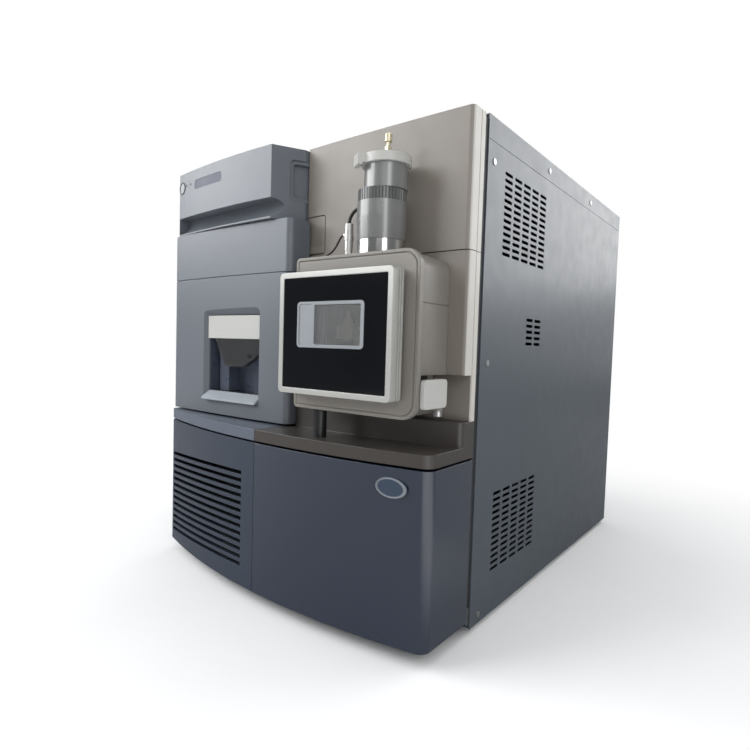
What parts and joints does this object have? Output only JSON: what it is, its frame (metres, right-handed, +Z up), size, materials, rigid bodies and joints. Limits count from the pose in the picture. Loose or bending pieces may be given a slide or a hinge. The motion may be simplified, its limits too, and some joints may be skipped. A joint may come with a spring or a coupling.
{
  "type": "mass spectrometer",
  "caption": "Benchtop mass spectrometer: slate cabinet with a bowed front, windowed ion source door, upright probe and louvred lower cover.",
  "frame": {"origin": "centre of the footprint at floor level", "axes": "+Z up, front towards -Y, +X to the viewer's right"},
  "size_m": [0.568, 0.783, 0.668],
  "materials": {
    "slate_sheet": "fine matt powder coat",
    "dark_sheet": "matt",
    "zinc_sheet": "zinc plated",
    "slate_plastic": "fine textured moulding",
    "navy_plastic": "satin",
    "grille_plastic": "satin",
    "fascia_brown": "fine textured moulding",
    "ledge_brown": "satin",
    "source_paint": "satin",
    "silver_paint": "satin silver",
    "black_glass": "gloss",
    "clear_glass": "clear",
    "grey_trim": "satin",
    "white_plastic": "satin",
    "black_plastic": "satin",
    "black_rubber": "matt",
    "clear_plastic": "clear plastic",
    "red_tube": "tinted tube",
    "steel": "machined",
    "chrome": "polished",
    "aluminium": "machined",
    "ceramic": "cream ceramic",
    "probe_grey": "anodised",
    "probe_band": "anodised, knurled",
    "brass": "machined",
    "badge_silver": "brushed"
  },
  "bodies": {
    "cabinet": {"base_tray": "zinc_sheet", "feet": "black_rubber", "front_bulkhead": "dark_sheet", "side_panel_right": "slate_sheet", "side_panel_left": "slate_sheet", "top_cover": "slate_sheet", "panel_screws": "steel", "rear_panel": "zinc_sheet", "upper_fascia": "fascia_brown", "lower_fascia": "fascia_brown", "ledge_right": "ledge_brown", "ledge_left": "slate_plastic", "lower_cover_right": "navy_plastic", "grille_cover": "grille_plastic", "badge": "badge_silver", "middle_cover": "slate_plastic", "bay_cover": "slate_plastic", "bay_liner": "navy_plastic", "cover_hinge_bracket": "zinc_sheet", "cover_hinge_pin": "steel", "fluidics_block": "white_plastic", "clear_trough": "clear_plastic", "red_tubes": "red_tube", "drip_tray": "white_plastic", "waste_port": "black_plastic", "source_housing": "source_paint", "source_flange": "source_paint", "door_seal": "black_rubber", "door_hinge_bracket": "steel", "door_hinge_pin": "steel", "cone_holder": "ceramic", "light_rod": "steel", "latch_pin": "steel", "drain_tube": "black_plastic", "probe_body": "probe_grey", "probe_collar": "white_plastic", "probe_fittings": "brass", "source_leads": "black_rubber", "vacuum_manifold": "aluminium", "manifold_stands": "zinc_sheet", "ion_optics": "steel", "turbo_pump": "aluminium", "electronics": "zinc_sheet", "fan_frame": "black_plastic", "rear_fittings": "black_plastic"},
    "upper_cover": {"upper_cover": "slate_plastic", "power_ring": "black_plastic", "status_lights": "black_plastic", "display_strip": "black_glass"},
    "power_button": {"power_button": "grey_trim"},
    "source_door": {"door_frame": "silver_paint", "door_glass": "black_glass", "door_liner": "steel", "window_bezel": "grey_trim", "window_pane": "clear_glass"},
    "latch_paddle": {"latch_paddle": "white_plastic"},
    "probe_adjuster": {"probe_adjuster": "probe_band"},
    "probe_lock_ring": {"probe_lock_ring": "chrome"},
    "turbo_rotor": {"turbo_rotor": "aluminium"},
    "fan_rotor": {"fan_rotor": "black_plastic"}
  },
  "joints": [
    {"name": "upper_cover_hinge", "type": "hinge", "parent": "cabinet", "child": "upper_cover", "pos_m": [-0.274, -0.2615, 0.609], "axis": [0, 0, -1], "range_deg": [0, 95]},
    {"name": "power_button_press", "type": "slide", "parent": "upper_cover", "child": "power_button", "axis": [0.155, 0.9879, 0], "range_m": [0, 0.0015], "stiffness_N_per_m": 300},
    {"name": "source_door_hinge", "type": "hinge", "parent": "cabinet", "child": "source_door", "pos_m": [0.064, -0.3645, 0.387], "axis": [0, 0, -1], "range_deg": [0, 110]},
    {"name": "latch_turn", "type": "hinge", "parent": "cabinet", "child": "latch_paddle", "pos_m": [0.264, -0.3135, 0.318], "axis": [0, 0, 1], "range_deg": [0, 60]},
    {"name": "probe_adjust", "type": "hinge", "parent": "cabinet", "child": "probe_adjuster", "pos_m": [0.178, -0.3235, 0.563], "axis": [0, 0, 1], "range_deg": [-170, 170]},
    {"name": "probe_lock", "type": "hinge", "parent": "cabinet", "child": "probe_lock_ring", "pos_m": [0.178, -0.3235, 0.498], "axis": [0, 0, 1], "range_deg": [0, 60]},
    {"name": "turbo_spin", "type": "hinge", "parent": "cabinet", "child": "turbo_rotor", "pos_m": [0.1655, 0.1745, 0.208], "axis": [0, 0, 1], "continuous": true},
    {"name": "fan_spin", "type": "hinge", "parent": "cabinet", "child": "fan_rotor", "pos_m": [-0.15, 0.3645, 0.488], "axis": [0, 1, 0], "continuous": true}
  ]
}
